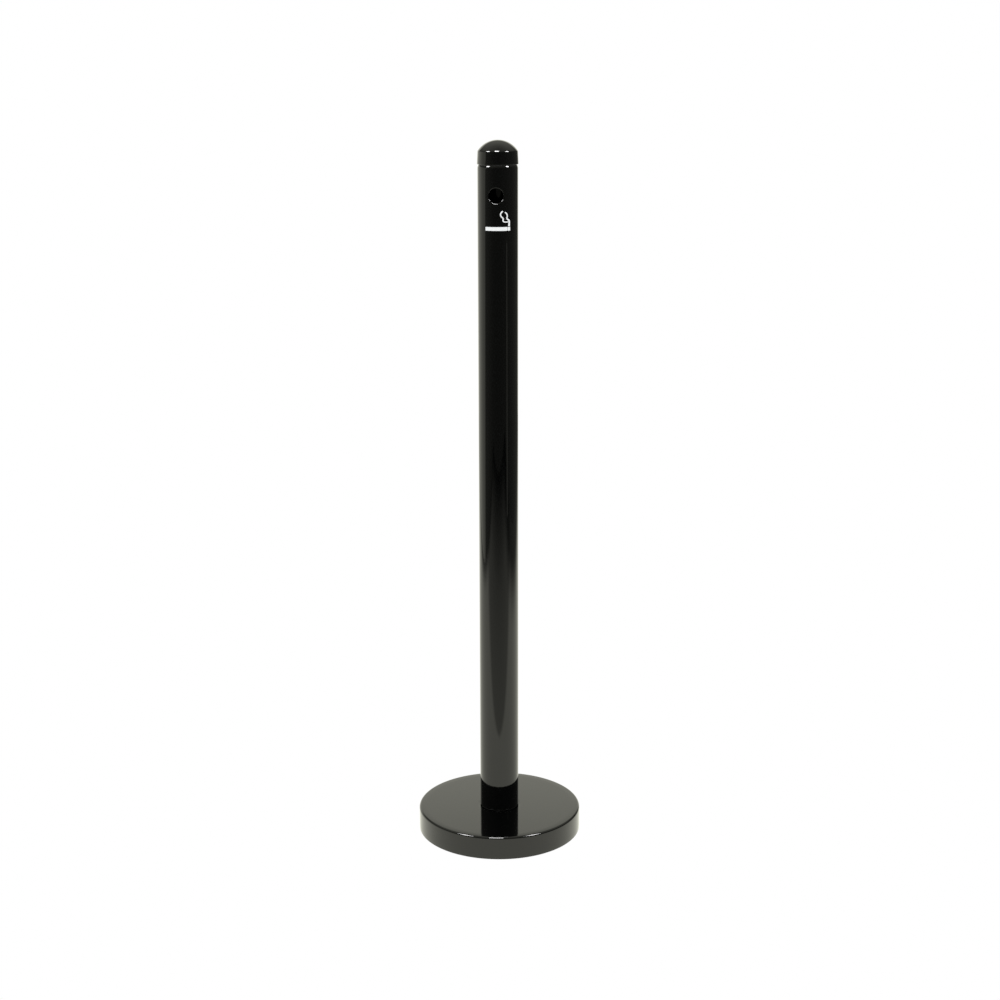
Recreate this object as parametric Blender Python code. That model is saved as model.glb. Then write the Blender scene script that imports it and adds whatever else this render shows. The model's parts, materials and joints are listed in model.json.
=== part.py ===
"""Free-standing smokers' pole: a powder-coated tube with a domed cap, an inlet hole for
cigarette ends, a lift-out canister inside it and a weighted round base.

Metres, +Z up, origin at the centre of the base's underside. The inlet faces -Y.
"""
from math import cos, pi, radians, sin

import bmesh
import bpy
from mathutils import Vector
from mathutils.geometry import interpolate_bezier

# Driving dimensions
BASE_RADIUS = 0.127
BASE_HEIGHT = 0.036
BASE_EDGE_RADIUS = 0.0032
POLE_RADIUS = 0.030
POLE_WALL = 0.0015
TOTAL_HEIGHT = 1.077
DOME_HEIGHT = 0.0165
CAP_SKIRT_HEIGHT = 0.0188
CAP_WALL = 0.0015
INLET_Z = 0.9976
INLET_RADIUS = 0.011
INLET_BEVEL = 0.0013
SPIGOT_HEIGHT = 0.100
CANISTER_TOP = 0.800
CANISTER_RADIUS = 0.022
CANISTER_WALL = 0.001
BOTTOM_THICKNESS = 0.0015
PICTOGRAM_Z = 0.9501
GAP = 0.0003

# Base
FLOOR_RING_HEIGHT = 0.003
FLOOR_RING_WIDTH = 0.016
FLOOR_RING_INSET = 0.0022
FLOOR_RING_BEVEL = 0.0006
COVER_WALL = 0.002
COVER_HEM_Z = 0.0004
PLATE_THICKNESS = 0.002
PLATE_INSET = 0.001
WEIGHT_INSET = 0.0008
WEIGHT_CHAMFER = 0.002
WEIGHT_RECESS_RADIUS = 0.049
COVER_HOLE_RADIUS = 0.0255
FLANGE_RADIUS = 0.048
FLANGE_THICKNESS = 0.0052
FLANGE_SCREW_CIRCLE = 0.037
PLATE_SCREW_CIRCLE = 0.085
SCREW_COUNT = 4
SCREW_RADIUS = 0.003
SCREW_HEAD_RADIUS = 0.0055
SCREW_HEAD_HEIGHT = 0.003
PLATE_SCREW_HEAD_HEIGHT = 0.002
SCREW_LENGTH = 0.012
SCREW_TAPER = 0.0015
SCREW_CLEARANCE = 0.0004
SCREW_HOLE_RADIUS = SCREW_RADIUS + SCREW_CLEARANCE
SCREW_HOLE_SPARE = 0.001
SOCKET_RADIUS = 0.0019
CUT_MARGIN = 0.002

# Spigot and the ring that turns on it
SPIGOT_RADIUS = 0.0243
SPIGOT_WALL = 0.0015
SPIGOT_CHAMFER = 0.0008
CIRCLIP_GROOVE_DEPTH = 0.0006
CIRCLIP_THICKNESS = 0.0015
CIRCLIP_REACH = 0.0022
CIRCLIP_OPENING = 0.009
SLEEVE_INNER = 0.0246
SLEEVE_OUTER = 0.0280
SLEEVE_LENGTH = 0.065
SLEEVE_CHAMFER = 0.0012
GRIP_RING_THICKNESS = 0.002
GRIP_RING_MIDDLE = 0.0272
GRIP_RING_INSET = 0.012
GROOVE_FLAT = 0.0016
PAD_THICKNESS = 0.002
PAD_INSET = 0.001
FOOT_RING_HEIGHT = 0.0012
FOOT_RING_REACH = 0.0002

# Cap and its plug
KNUCKLE_RADIUS = 0.0012
CAP_TOP_RADIUS = 0.0298
CAP_LIP_RADIUS = 0.0306
CAP_LIP_BEVEL_WIDTH = 0.0006
CAP_LIP_BEVEL_HEIGHT = 0.0009
CAP_SEAT_GAP = 0.0005
CAP_SEAT_DROP = 0.002
CAP_INSIDE_INSET = 0.0009
SEAM_GAP = 0.0012
SHOULDER_WIDTH = 0.0013
SHOULDER_HEIGHT = 0.0042
PLUG_OUTER = 0.0281
PLUG_INNER = 0.0258
PLUG_DEPTH = 0.030
PLUG_CHAMFER = 0.0012
PLUG_DROP = 0.0045
BAR_WIDTH = 0.012
BAR_THICKNESS = 0.004
BAR_DROP = 0.001
CAP_SCREW_LENGTH = 0.0115
NUT_RADIUS = 0.0062
NUT_HEIGHT = 0.0052

# Canister and bail
RIM_OUTER = 0.0275
RIM_NECK_OUTER = 0.0256
RIM_DEPTH = 0.025
RIM_FUNNEL_DEPTH = 0.006
RIM_FLARE_DROP = 0.004
RIM_EDGE = 0.001
RIM_BORE_CLEARANCE = 0.0002
CANISTER_TUBE_DROP = 0.0143
CANISTER_BOTTOM_GAP = 0.00045
BAIL_WIRE = 0.00125
BAIL_RADIUS = 0.0155
BAIL_BEND = 0.003
BAIL_PIN_END = 0.0245
BAIL_HOLE = 0.0017
BAIL_DROP = 0.010

# Pictogram, as lengths along the tube's surface and heights
CIGARETTE_START = -0.0174
CIGARETTE_LENGTH = 0.0345
EMBER_GAP = 0.0009
EMBER_LENGTH = 0.0047
CIGARETTE_THICKNESS = 0.0066
SMOKE_WIDTH = 0.0022
DECAL_THICKNESS = 0.0004

# Heights that follow
COVER_UNDERSIDE = BASE_HEIGHT - COVER_WALL
PLATE_BOTTOM = FLOOR_RING_HEIGHT + GAP
WEIGHT_BOTTOM = PLATE_BOTTOM + PLATE_THICKNESS + GAP
WEIGHT_TOP = COVER_UNDERSIDE - GAP
FLANGE_TOP = WEIGHT_TOP - GAP
FLANGE_BOTTOM = FLANGE_TOP - FLANGE_THICKNESS
SPIGOT_BOTTOM = FLANGE_TOP + GAP
SPIGOT_TOP = SPIGOT_BOTTOM + SPIGOT_HEIGHT
SLEEVE_BOTTOM = BASE_HEIGHT + GAP
SLEEVE_TOP = SLEEVE_BOTTOM + SLEEVE_LENGTH
CIRCLIP_BOTTOM = SLEEVE_TOP + GAP
CAP_LIP_Z = TOTAL_HEIGHT - DOME_HEIGHT - CAP_SKIRT_HEIGHT
KNUCKLE_Z = TOTAL_HEIGHT - DOME_HEIGHT
POLE_TOP = CAP_LIP_Z - SEAM_GAP
FOOT_RING_BOTTOM = BASE_HEIGHT + GAP
FOOT_RING_TOP = FOOT_RING_BOTTOM + FOOT_RING_HEIGHT
POLE_BOTTOM = FOOT_RING_TOP + GAP
PAD_BOTTOM = FLANGE_TOP + GAP
PAD_TOP = PAD_BOTTOM + PAD_THICKNESS
CANISTER_BOTTOM = PAD_TOP + GAP
BAIL_Z = CANISTER_TOP - BAIL_DROP


def clear_scene():
    for obj in list(bpy.data.objects):
        bpy.data.objects.remove(obj, do_unlink=True)


def make_material(name, color, roughness, metallic=0.0):
    material = bpy.data.materials.new(name)
    material.use_nodes = True
    shader = material.node_tree.nodes["Principled BSDF"]
    shader.inputs["Base Color"].default_value = (*color, 1.0)
    shader.inputs["Roughness"].default_value = roughness
    shader.inputs["Metallic"].default_value = metallic
    return material


def add_object(name, bm, color, roughness, metallic=0.0, parent=None, smooth=True):
    mesh = bpy.data.meshes.new(name)
    bm.to_mesh(mesh)
    bm.free()
    if smooth:
        mesh.shade_smooth()
        mesh.set_sharp_from_angle(angle=radians(35))
    obj = bpy.data.objects.new(name, mesh)
    obj.data.materials.append(make_material(name, color, roughness, metallic))
    bpy.context.scene.collection.objects.link(obj)
    obj.parent = parent
    return obj


def add_joint_empty(name, location=(0.0, 0.0, 0.0), parent=None):
    empty = bpy.data.objects.new(name, None)
    empty.empty_display_size = 0.02
    empty.location = location
    bpy.context.scene.collection.objects.link(empty)
    empty.parent = parent
    return empty


def arc(center, radius, start, end, steps, stretch=1.0):
    """Points (r, z) on an arc, angles in degrees; stretch scales it upwards."""
    points = []
    for i in range(steps + 1):
        angle = radians(start + (end - start) * i / steps)
        points.append((center[0] + radius * cos(angle), center[1] + stretch * radius * sin(angle)))
    return points


def turned(profile, segments):
    """Closed body made by turning a closed (r, z) profile about Z."""
    bm = bmesh.new()
    verts = [bm.verts.new((r, 0.0, z)) for r, z in profile]
    edges = []
    for a, b in zip(verts, verts[1:] + verts[:1]):
        if a.co.x > 0.0 or b.co.x > 0.0:
            edges.append(bm.edges.new((a, b)))
    bmesh.ops.spin(bm, geom=verts + edges, cent=(0, 0, 0), axis=(0, 0, 1),
                   angle=2 * pi, steps=segments, use_merge=True)
    bmesh.ops.remove_doubles(bm, verts=bm.verts, dist=1e-6)
    bmesh.ops.recalc_face_normals(bm, faces=bm.faces)
    return bm


def ring_profile(inner, outer, bottom, top):
    return [(inner, bottom), (outer, bottom), (outer, top), (inner, top)]


def add_cutter(name, bm, parent=None):
    mesh = bpy.data.meshes.new(name)
    bm.to_mesh(mesh)
    bm.free()
    cutter = bpy.data.objects.new(name, mesh)
    cutter.hide_render = True
    cutter.display_type = "WIRE"
    bpy.context.scene.collection.objects.link(cutter)
    cutter.parent = parent
    return cutter


def cut(obj, cutter):
    modifier = obj.modifiers.new("cut_" + cutter.name, "BOOLEAN")
    modifier.operation = "DIFFERENCE"
    modifier.solver = "EXACT"
    modifier.object = cutter


def rod(start, end, radius, segments):
    """Closed cylinder between two points."""
    start, end = Vector(start), Vector(end)
    axis = end - start
    bm = bmesh.new()
    bmesh.ops.create_cone(bm, cap_ends=True, segments=segments, radius1=radius, radius2=radius,
                          depth=axis.length)
    turn = Vector((0, 0, 1)).rotation_difference(axis.normalized()).to_matrix()
    bmesh.ops.rotate(bm, verts=bm.verts, cent=(0, 0, 0), matrix=turn)
    bmesh.ops.translate(bm, verts=bm.verts, vec=(start + end) / 2)
    return bm


def around(radius, count, start_angle=45.0):
    """Evenly spaced (x, y) places on a circle."""
    for i in range(count):
        angle = radians(start_angle + 360.0 * i / count)
        yield radius * cos(angle), radius * sin(angle)


def disc_profile(radius, bottom, top):
    return [(0.0, bottom), (radius, bottom), (radius, top), (0.0, top)]


def make_floor_ring():
    outer = BASE_RADIUS - COVER_WALL - FLOOR_RING_INSET
    inner = outer - FLOOR_RING_WIDTH
    profile = [(inner, 0.0), (outer - FLOOR_RING_BEVEL, 0.0), (outer, FLOOR_RING_BEVEL),
               (outer, FLOOR_RING_HEIGHT), (inner, FLOOR_RING_HEIGHT)]
    add_object("floor_ring", turned(profile, 64), (0.02, 0.02, 0.02), 0.85)


def make_base_plate():
    outer = BASE_RADIUS - COVER_WALL - PLATE_INSET
    bm = turned(disc_profile(outer, PLATE_BOTTOM, PLATE_BOTTOM + PLATE_THICKNESS), 64)
    plate = add_object("base_plate", bm, (0.42, 0.43, 0.44), 0.4, 1.0)
    for i, (x, y) in enumerate(around(PLATE_SCREW_CIRCLE, SCREW_COUNT)):
        hole = rod((x, y, 0.0), (x, y, WEIGHT_BOTTOM + CUT_MARGIN), SCREW_HOLE_RADIUS, 12)
        cut(plate, add_cutter(f"plate_hole_{i + 1}", hole))


def make_base_weight():
    outer = BASE_RADIUS - COVER_WALL - WEIGHT_INSET
    profile = [(0.0, WEIGHT_BOTTOM), (outer, WEIGHT_BOTTOM), (outer, WEIGHT_TOP - WEIGHT_CHAMFER),
               (outer - WEIGHT_CHAMFER, WEIGHT_TOP), (WEIGHT_RECESS_RADIUS, WEIGHT_TOP),
               (WEIGHT_RECESS_RADIUS, FLANGE_BOTTOM - GAP), (0.0, FLANGE_BOTTOM - GAP)]
    weight = add_object("base_weight", turned(profile, 64), (0.16, 0.16, 0.165), 0.7, 0.6)
    for i, (x, y) in enumerate(around(FLANGE_SCREW_CIRCLE, SCREW_COUNT)):
        bottom = FLANGE_TOP - SCREW_HEAD_HEIGHT - SCREW_LENGTH - SCREW_HOLE_SPARE
        hole = rod((x, y, bottom), (x, y, FLANGE_TOP), SCREW_HOLE_RADIUS, 12)
        cut(weight, add_cutter(f"weight_top_hole_{i + 1}", hole))
    for i, (x, y) in enumerate(around(PLATE_SCREW_CIRCLE, SCREW_COUNT)):
        top = PLATE_BOTTOM + SCREW_LENGTH + SCREW_HOLE_SPARE
        hole = rod((x, y, 0.0), (x, y, top), SCREW_HOLE_RADIUS, 12)
        cut(weight, add_cutter(f"weight_bottom_hole_{i + 1}", hole))


def make_base_cover():
    """Pressed steel shell: flat top with the spigot's hole, rounded edge, straight skirt."""
    inner_edge = BASE_EDGE_RADIUS - COVER_WALL
    wall = BASE_RADIUS - COVER_WALL
    outer_arc = arc((BASE_RADIUS - BASE_EDGE_RADIUS, BASE_HEIGHT - BASE_EDGE_RADIUS),
                    BASE_EDGE_RADIUS, 90, 0, 5)
    inner_arc = arc((wall - inner_edge, COVER_UNDERSIDE - inner_edge), inner_edge, 0, 90, 2)
    profile = [(COVER_HOLE_RADIUS, BASE_HEIGHT), *outer_arc, (BASE_RADIUS, COVER_HEM_Z),
               (wall, COVER_HEM_Z), *inner_arc, (COVER_HOLE_RADIUS, COVER_UNDERSIDE)]
    add_object("base_cover", turned(profile, 64), (0.011, 0.011, 0.0115), 0.08)


def screw_body(head_radius, head_height, shank_radius, length):
    """Screw with a domed head, point down, underside of the head at z = 0."""
    profile = [(0.0, -length), (shank_radius * 0.6, -length), (shank_radius, -length + SCREW_TAPER),
               (shank_radius, 0.0), (head_radius, 0.0), (head_radius, head_height * 0.45),
               (head_radius * 0.62, head_height), (0.0, head_height)]
    return turned(profile, 12)


def add_screw(name, location, flip=False, length=SCREW_LENGTH, head=SCREW_HEAD_HEIGHT, parent=None):
    """Screw with a hexagon socket sunk half way into its head; flip turns the point upwards."""
    holder = add_joint_empty(name + "_place", location, parent)
    if flip:
        holder.rotation_euler = (pi, 0.0, 0.0)
    body = screw_body(SCREW_HEAD_RADIUS, head, SCREW_RADIUS, length)
    screw = add_object(name, body, (0.55, 0.56, 0.57), 0.3, 1.0, parent=holder)
    socket = rod((0, 0, head * 0.45), (0, 0, head + CUT_MARGIN), SOCKET_RADIUS, 6)
    cut(screw, add_cutter(name + "_socket", socket, holder))


def make_base_screws():
    counterbore_floor = FLANGE_TOP - SCREW_HEAD_HEIGHT
    for i, (x, y) in enumerate(around(FLANGE_SCREW_CIRCLE, SCREW_COUNT)):
        add_screw(f"flange_screw_{i + 1}", (x, y, counterbore_floor))
    for i, (x, y) in enumerate(around(PLATE_SCREW_CIRCLE, SCREW_COUNT)):
        add_screw(f"plate_screw_{i + 1}", (x, y, PLATE_BOTTOM - GAP), flip=True,
                  head=PLATE_SCREW_HEAD_HEIGHT)


def make_spigot_flange():
    bm = turned(disc_profile(FLANGE_RADIUS, FLANGE_BOTTOM, FLANGE_TOP), 32)
    flange = add_object("spigot_flange", bm, (0.42, 0.43, 0.44), 0.4, 1.0)
    head_floor = FLANGE_TOP - SCREW_HEAD_HEIGHT - GAP
    head_bore = SCREW_HEAD_RADIUS + SCREW_CLEARANCE
    reach = 2 * FLANGE_THICKNESS
    for i, (x, y) in enumerate(around(FLANGE_SCREW_CIRCLE, SCREW_COUNT)):
        bore = turned([(0.0, -reach), (SCREW_HOLE_RADIUS, -reach), (SCREW_HOLE_RADIUS, 0.0),
                       (head_bore, 0.0), (head_bore, reach), (0.0, reach)], 12)
        cutter = add_cutter(f"flange_bore_{i + 1}", bore)
        cutter.location = (x, y, head_floor)
        cut(flange, cutter)


def make_spigot_tube():
    """Tube with a groove near its top, and the open clip that sits in the groove."""
    inner = SPIGOT_RADIUS - SPIGOT_WALL
    groove = SPIGOT_RADIUS - CIRCLIP_GROOVE_DEPTH
    groove_top = CIRCLIP_BOTTOM + CIRCLIP_THICKNESS + GAP
    profile = [(inner, SPIGOT_BOTTOM), (SPIGOT_RADIUS, SPIGOT_BOTTOM),
               (SPIGOT_RADIUS, CIRCLIP_BOTTOM - GAP), (groove, CIRCLIP_BOTTOM - GAP),
               (groove, groove_top), (SPIGOT_RADIUS, groove_top),
               (SPIGOT_RADIUS, SPIGOT_TOP - SPIGOT_CHAMFER),
               (SPIGOT_RADIUS - SPIGOT_CHAMFER, SPIGOT_TOP), (inner, SPIGOT_TOP)]
    add_object("spigot_tube", turned(profile, 32), (0.42, 0.43, 0.44), 0.4, 1.0)

    clip = turned(ring_profile(groove + GAP, SPIGOT_RADIUS + CIRCLIP_REACH, CIRCLIP_BOTTOM,
                               CIRCLIP_BOTTOM + CIRCLIP_THICKNESS), 32)
    circlip = add_object("spigot_circlip", clip, (0.3, 0.3, 0.31), 0.35, 1.0)
    gap_bm = bmesh.new()
    bmesh.ops.create_cube(gap_bm, size=CIRCLIP_OPENING)
    gap_cutter = add_cutter("circlip_gap", gap_bm)
    gap_cutter.location = (0.0, SPIGOT_RADIUS, CIRCLIP_BOTTOM)
    cut(circlip, gap_cutter)


def make_canister_pad():
    radius = SPIGOT_RADIUS - SPIGOT_WALL - PAD_INSET
    pad = turned(disc_profile(radius, PAD_BOTTOM, PAD_TOP), 32)
    add_object("canister_pad", pad, (0.03, 0.03, 0.03), 0.9)


def groove_points(z):
    """Round-bottomed groove in the sleeve's outside, from low to high."""
    radius = GRIP_RING_THICKNESS / 2 + GAP
    floor = GRIP_RING_MIDDLE - radius
    half = GROOVE_FLAT / 2
    return [(SLEEVE_OUTER, z - radius), (floor, z - half), (floor, z + half), (SLEEVE_OUTER, z + radius)]


def make_turn_ring(body):
    """Nylon sleeve that turns on the spigot, with two rubber rings that grip the pole."""
    ring_heights = (SLEEVE_BOTTOM + GRIP_RING_INSET, SLEEVE_TOP - GRIP_RING_INSET)
    profile = [(SLEEVE_INNER, SLEEVE_BOTTOM), (SLEEVE_OUTER, SLEEVE_BOTTOM)]
    for z in ring_heights:
        profile += groove_points(z)
    profile += [(SLEEVE_OUTER, SLEEVE_TOP - SLEEVE_CHAMFER), (SLEEVE_OUTER - SLEEVE_CHAMFER, SLEEVE_TOP),
                (SLEEVE_INNER, SLEEVE_TOP)]
    add_object("guide_sleeve", turned(profile, 32), (0.72, 0.72, 0.70), 0.45, parent=body)
    for name, z in zip(("grip_ring_lower", "grip_ring_upper"), ring_heights):
        loop = arc((GRIP_RING_MIDDLE, z), GRIP_RING_THICKNESS / 2, 0, 360, 6)[:-1]
        add_object(name, turned(loop, 32), (0.015, 0.015, 0.015), 0.6, parent=body)


def make_pole_tube(body):
    inner = POLE_RADIUS - POLE_WALL
    shoulder = arc((POLE_RADIUS - SHOULDER_WIDTH, POLE_TOP - SHOULDER_HEIGHT), SHOULDER_WIDTH, 0, 90, 4,
                   stretch=SHOULDER_HEIGHT / SHOULDER_WIDTH)
    profile = [(inner, POLE_BOTTOM), (POLE_RADIUS, POLE_BOTTOM), *shoulder, (inner, POLE_TOP)]
    tube = add_object("pole_tube", turned(profile, 48), (0.011, 0.011, 0.0115), 0.08, parent=body)
    depth = 5 * POLE_WALL
    flare = 2 * INLET_BEVEL
    opening = turned([(0.0, -depth), (INLET_RADIUS, -depth), (INLET_RADIUS, 0.0),
                      (INLET_RADIUS + flare, flare), (INLET_RADIUS + flare, depth), (0.0, depth)], 32)
    cutter = add_cutter("inlet_cutter", opening, body)
    cutter.location = (0.0, -(POLE_RADIUS - INLET_BEVEL), INLET_Z)
    cutter.rotation_euler = (pi / 2, 0.0, 0.0)
    cut(tube, cutter)


def make_foot_ring(body):
    """Soft edging that keeps the pole's end off the base's paint."""
    edging = turned(ring_profile(POLE_RADIUS - POLE_WALL, POLE_RADIUS + FOOT_RING_REACH,
                                 FOOT_RING_BOTTOM, FOOT_RING_TOP), 48)
    add_object("pole_foot_ring", edging, (0.05, 0.05, 0.05), 0.5, parent=body)


def wrap(along, z, radius):
    """Place on the pole's surface: along is measured round the front from the inlet's middle."""
    angle = along / POLE_RADIUS
    return Vector((radius * sin(angle), -radius * cos(angle), z))


def decal(outline_pairs):
    """Closed curved plate over pairs of (along, z) edge points."""
    low = POLE_RADIUS + GAP
    high = low + DECAL_THICKNESS
    bm = bmesh.new()
    rows = []
    for first, second in outline_pairs:
        rows.append([bm.verts.new(wrap(*first, low)), bm.verts.new(wrap(*second, low)),
                     bm.verts.new(wrap(*second, high)), bm.verts.new(wrap(*first, high))])
    for a, b in zip(rows, rows[1:]):
        for i in range(4):
            j = (i + 1) % 4
            bm.faces.new((a[i], a[j], b[j], b[i]))
    bm.faces.new(rows[0])
    bm.faces.new(rows[-1])
    bmesh.ops.recalc_face_normals(bm, faces=bm.faces)
    return bm


def bar_outline(start, end, bottom, top, steps):
    pairs = []
    for i in range(steps + 1):
        along = start + (end - start) * i / steps
        pairs.append(((along, bottom), (along, top)))
    return pairs


def ribbon_outline(bends, width, steps):
    """Edges of a ribbon along Bezier pieces (start, handle, handle, end)."""
    middle = []
    for piece in bends:
        knots = [Vector((*point, 0.0)) for point in piece]
        points = interpolate_bezier(*knots, steps)
        middle += points if not middle else points[1:]
    pairs = []
    for i, point in enumerate(middle):
        ahead = middle[min(i + 1, len(middle) - 1)]
        behind = middle[max(i - 1, 0)]
        direction = (ahead - behind).normalized()
        side = Vector((-direction.y, direction.x, 0.0)) * width / 2
        pairs.append(((point + side).xy, (point - side).xy))
    return pairs


def smoke_bends(scale_points):
    """Bezier pieces in millimetres from the cigarette's middle, turned into metres."""
    return [tuple((x / 1000, PICTOGRAM_Z + z / 1000) for x, z in piece) for piece in scale_points]


def make_pictogram(body):
    white = (0.85, 0.85, 0.84)
    half = CIGARETTE_THICKNESS / 2
    tip = CIGARETTE_START + CIGARETTE_LENGTH
    bottom, top = PICTOGRAM_Z - half, PICTOGRAM_Z + half
    cigarette = bar_outline(CIGARETTE_START, tip, bottom, top, 10)
    add_object("pictogram_cigarette", decal(cigarette), white, 0.5, parent=body, smooth=False)
    ember = bar_outline(tip + EMBER_GAP, tip + EMBER_GAP + EMBER_LENGTH, bottom, top, 2)
    add_object("pictogram_ember", decal(ember), white, 0.5, parent=body, smooth=False)
    right_curl = smoke_bends([((14.0, 25.4), (17.4, 24.2), (18.6, 20.4), (17.1, 16.9)),
                              ((17.1, 16.9), (16.6, 14.8), (21.2, 14.4), (21.3, 9.8)),
                              ((21.3, 9.8), (21.3, 7.8), (21.0, 5.8), (20.9, 3.9))])
    left_curl = smoke_bends([((9.9, 27.3), (6.2, 25.6), (5.2, 20.6), (9.2, 17.1)),
                             ((9.2, 17.1), (10.8, 15.6), (10.4, 14.6), (10.2, 13.1)),
                             ((10.2, 13.1), (10.3, 9.6), (14.0, 9.7), (18.6, 10.4))])
    for name, bends in (("pictogram_smoke_right", right_curl), ("pictogram_smoke_left", left_curl)):
        outline = ribbon_outline(bends, SMOKE_WIDTH, 7)
        add_object(name, decal(outline), white, 0.5, parent=body, smooth=False)


def make_cap(body):
    """Domed shell with a short skirt."""
    dome_edge = CAP_TOP_RADIUS - KNUCKLE_RADIUS * 0.4
    sphere = (dome_edge ** 2 + DOME_HEIGHT ** 2) / (2 * DOME_HEIGHT)
    center_z = TOTAL_HEIGHT - sphere
    dome = []
    steps = 8
    for i in range(steps + 1):
        r = dome_edge * sin(pi / 2 * i / steps)
        dome.append((r, center_z + (sphere ** 2 - r ** 2) ** 0.5))
    skirt = [(CAP_TOP_RADIUS, KNUCKLE_Z - KNUCKLE_RADIUS),
             (CAP_LIP_RADIUS, CAP_LIP_Z + CAP_LIP_BEVEL_HEIGHT),
             (CAP_LIP_RADIUS - CAP_LIP_BEVEL_WIDTH, CAP_LIP_Z)]
    seat = PLUG_OUTER + CAP_SEAT_GAP
    inside = [(seat, CAP_LIP_Z), (seat, KNUCKLE_Z - CAP_SEAT_DROP)]
    for r, z in reversed(dome[1:-1:2]):
        inside.append((r * (1 - CAP_WALL / sphere) - CAP_INSIDE_INSET, z - CAP_WALL))
    profile = [*dome, *skirt, *inside, (0.0, TOTAL_HEIGHT - CAP_WALL)]
    add_object("cap_shell", turned(profile, 48), (0.011, 0.011, 0.0115), 0.08, parent=body)


def make_cap_plug(body):
    """Nylon plug that pushes into the tube, with a bar across it for the cap's screw and nut."""
    plug_top = KNUCKLE_Z - PLUG_DROP
    plug_bottom = CAP_LIP_Z - PLUG_DEPTH
    ring = turned([(PLUG_INNER, plug_bottom), (PLUG_OUTER - PLUG_CHAMFER, plug_bottom),
                   (PLUG_OUTER, plug_bottom + PLUG_CHAMFER), (PLUG_OUTER, plug_top),
                   (PLUG_INNER, plug_top)], 32)
    plug = add_object("cap_plug", ring, (0.03, 0.03, 0.03), 0.5, parent=body)
    bar_bm = bmesh.new()
    bmesh.ops.create_cube(bar_bm, size=1.0)
    reach = (PLUG_INNER + PLUG_OUTER) / 2
    bmesh.ops.scale(bar_bm, vec=(2 * reach, BAR_WIDTH, BAR_THICKNESS), verts=bar_bm.verts)
    bar_z = plug_top - BAR_THICKNESS / 2 - BAR_DROP
    bmesh.ops.translate(bar_bm, vec=(0, 0, bar_z), verts=bar_bm.verts)
    bar = add_cutter("plug_bar", bar_bm, body)
    join = plug.modifiers.new("bar", "BOOLEAN")
    join.operation = "UNION"
    join.solver = "EXACT"
    join.object = bar
    hole = rod((0, 0, bar_z - BAR_WIDTH), (0, 0, bar_z + BAR_WIDTH), SCREW_HOLE_RADIUS, 12)
    cut(plug, add_cutter("plug_hole", hole, body))

    bar_bottom = bar_z - BAR_THICKNESS / 2
    bar_top = bar_z + BAR_THICKNESS / 2
    add_screw("cap_screw", (0.0, 0.0, bar_bottom - GAP), flip=True, length=CAP_SCREW_LENGTH, parent=body)
    nut_bottom = bar_top + GAP
    nut_top = nut_bottom + NUT_HEIGHT
    nut = rod((0, 0, nut_bottom), (0, 0, nut_top), NUT_RADIUS, 6)
    cap_nut = add_object("cap_nut", nut, (0.55, 0.56, 0.57), 0.35, 1.0, parent=body, smooth=False)
    thread = rod((0, 0, nut_bottom - CUT_MARGIN), (0, 0, nut_top + CUT_MARGIN), SCREW_HOLE_RADIUS, 12)
    cut(cap_nut, add_cutter("nut_hole", thread, body))


def make_canister(body):
    inner = CANISTER_RADIUS - CANISTER_WALL
    tube_top = CANISTER_TOP - CANISTER_TUBE_DROP
    steel = (0.55, 0.56, 0.57)
    bm = turned(ring_profile(inner, CANISTER_RADIUS, CANISTER_BOTTOM, tube_top), 32)
    add_object("canister_tube", bm, steel, 0.38, 1.0, parent=body)

    disc = disc_profile(inner - CANISTER_BOTTOM_GAP, CANISTER_BOTTOM, CANISTER_BOTTOM + BOTTOM_THICKNESS)
    add_object("canister_bottom", turned(disc, 32), steel, 0.38, 1.0, parent=body)

    collar_inner = CANISTER_RADIUS + GAP
    bore = inner + RIM_BORE_CLEARANCE
    funnel = CANISTER_TOP - RIM_FUNNEL_DEPTH
    step = tube_top + GAP
    rim = [(collar_inner, CANISTER_TOP - RIM_DEPTH), (RIM_NECK_OUTER, CANISTER_TOP - RIM_DEPTH),
           (RIM_NECK_OUTER, funnel), (RIM_OUTER, CANISTER_TOP - RIM_FLARE_DROP),
           (RIM_OUTER, CANISTER_TOP), (RIM_OUTER - RIM_EDGE, CANISTER_TOP),
           (bore, funnel), (bore, step), (collar_inner, step)]
    collar = add_object("canister_rim", turned(rim, 32), (0.03, 0.03, 0.03), 0.5, parent=body)
    holes = rod((-POLE_RADIUS, 0, BAIL_Z), (POLE_RADIUS, 0, BAIL_Z), BAIL_HOLE, 12)
    cut(collar, add_cutter("bail_holes", holes, body))


def bail_path():
    """Half of the bail's line from its pin to the bottom of the bow, then mirrored."""
    pin = (BAIL_PIN_END, 0.0)
    bend = arc((BAIL_RADIUS + BAIL_BEND, -BAIL_BEND), BAIL_BEND, 90, 180, 4)
    bow = arc((0.0, -BAIL_BEND), BAIL_RADIUS, 0, -90, 9)
    half = [pin, *bend, *bow[1:]]
    return half + [(-x, z) for x, z in reversed(half[:-1])]


def make_bail(body):
    """Wire handle that hangs in the canister's mouth and swings up on its two pins."""
    curve = bpy.data.curves.new("bail_wire", "CURVE")
    curve.dimensions = "3D"
    curve.bevel_depth = BAIL_WIRE
    curve.bevel_resolution = 1
    curve.use_fill_caps = True
    curve.materials.append(make_material("bail", (0.55, 0.56, 0.57), 0.3, 1.0))
    spline = curve.splines.new("POLY")
    points = bail_path()
    spline.points.add(len(points) - 1)
    for point, (x, z) in zip(spline.points, points):
        point.co = (x, 0.0, z, 1.0)
    bail = bpy.data.objects.new("bail", curve)
    bpy.context.scene.collection.objects.link(bail)
    bail.parent = body


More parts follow.
